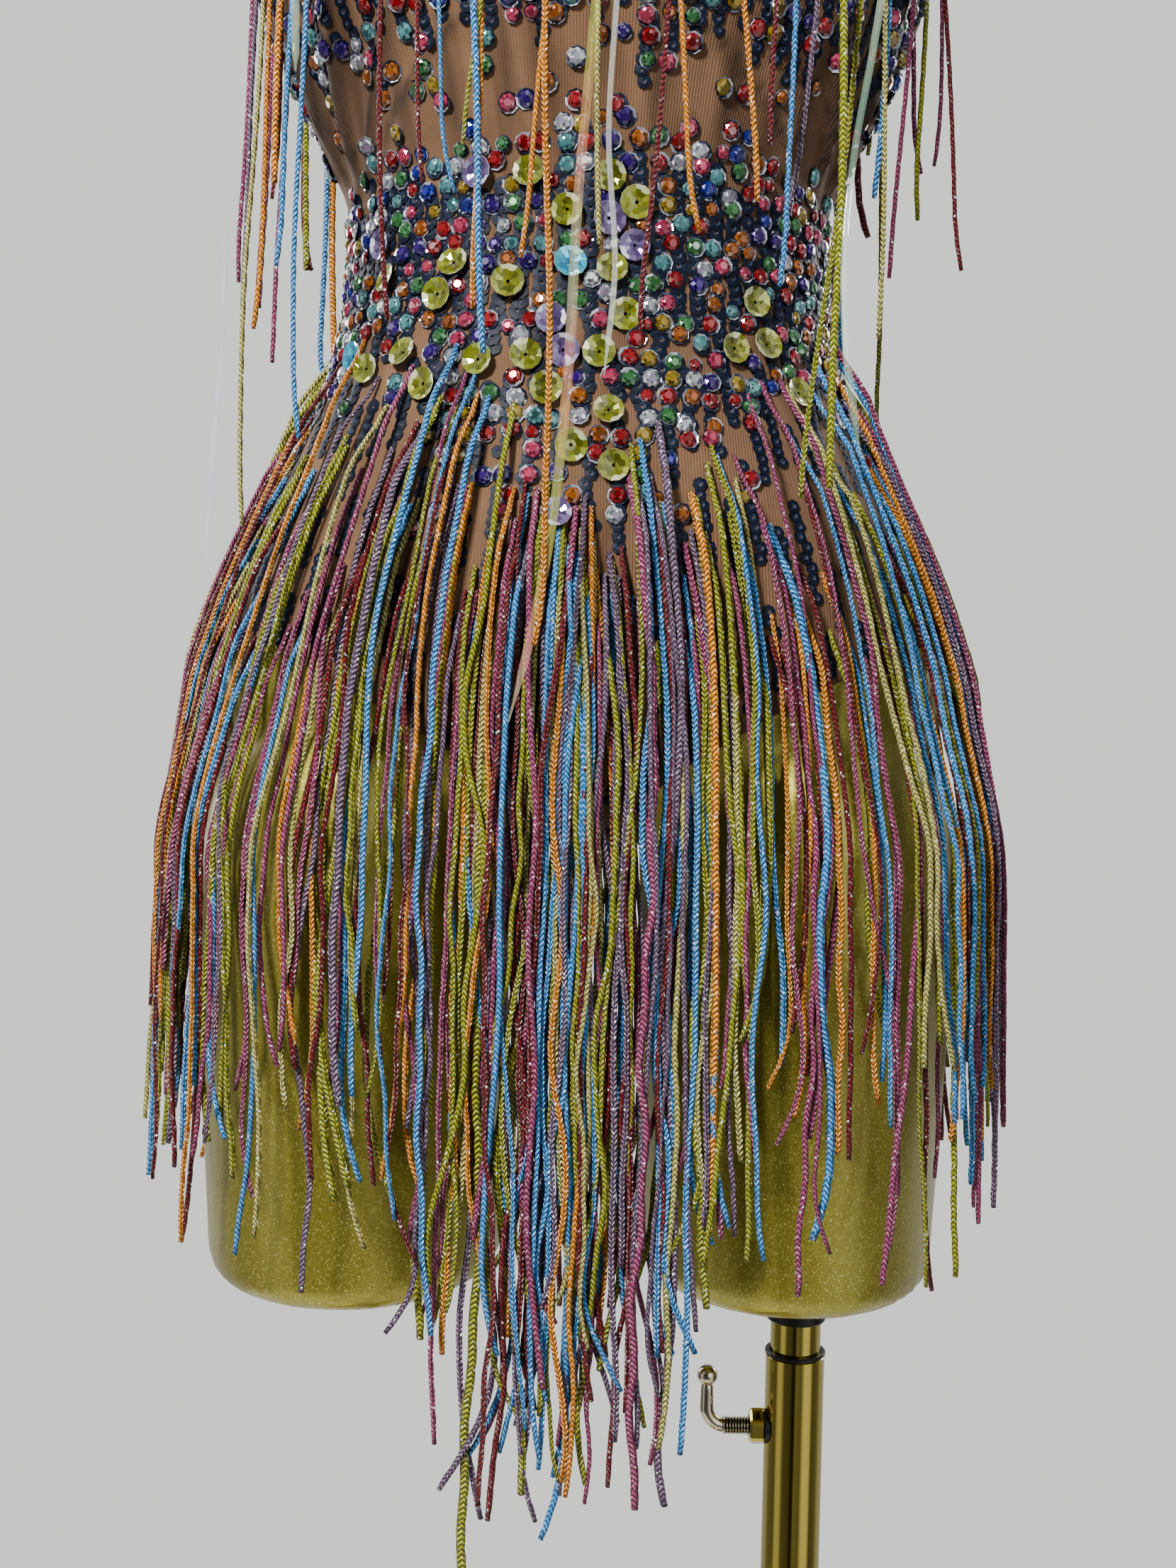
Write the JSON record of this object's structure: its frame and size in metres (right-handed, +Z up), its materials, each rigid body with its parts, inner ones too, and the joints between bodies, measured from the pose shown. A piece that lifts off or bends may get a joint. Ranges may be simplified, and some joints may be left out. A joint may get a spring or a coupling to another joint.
{
  "type": "fringed rhinestone bodysuit on a limbless dress form with a pole stand",
  "caption": "Sleeveless mesh bodysuit set with rhinestones and sequins, hung with rows of braided fringe, on a limbless dress form on a clamped pole and round plate.",
  "frame": {"origin": "on the floor, under the middle of the round base plate", "axes": "+Z up, the front of the bodysuit faces -Y, +X to the viewer's right"},
  "size_m": [0.38, 0.38, 1.446],
  "materials": {
    "champagne_gold": "satin metallic flake paint",
    "nude_mesh": "fine ribbed power mesh",
    "cord_sky": "braided cord with glitter thread",
    "cord_mauve": "braided cord with glitter thread",
    "cord_lime": "braided cord with glitter thread",
    "cord_burgundy": "braided cord with glitter thread",
    "cord_orange": "braided cord with glitter thread",
    "polished_gold": "polished",
    "black_plastic": "satin"
  },
  "bodies": {
    "stand": {"base_plate": "polished_gold", "base_flange": "polished_gold", "stand_tube": "polished_gold", "tube_ring": "black_plastic", "clamp_nut": "polished_gold"},
    "mast": {"mast": "polished_gold"},
    "clamp_screw": {"clamp_screw": "polished_gold"},
    "figure": {"dress_form": "champagne_gold", "mast_collar": "black_plastic", "suit_front": "nude_mesh", "suit_back": "nude_mesh", "hip_fringe_front_1": "cord_sky", "hip_fringe_back_1": "cord_sky", "hip_fringe_front_2": "cord_mauve", "hip_fringe_back_2": "cord_mauve", "hip_fringe_front_3": "cord_lime", "hip_fringe_back_3": "cord_lime", "chest_fringe_front_1": "cord_burgundy", "chest_fringe_back_1": "cord_burgundy", "chest_fringe_front_2": "cord_orange", "chest_fringe_back_2": "cord_orange"}
  },
  "joints": [
    {"name": "mast_height", "type": "slide", "parent": "stand", "child": "mast", "axis": [0, 0, 1], "range_m": [-0.012, 0.24]},
    {"name": "figure_turn", "type": "hinge", "parent": "mast", "child": "figure", "pos_m": [0.098, 0, 0.6], "axis": [0, 0, 1], "continuous": true},
    {"name": "clamp_screw_turn", "type": "hinge", "parent": "stand", "child": "clamp_screw", "pos_m": [0.075, 0, 0.5163], "axis": [1, 0, 0], "continuous": true}
  ]
}
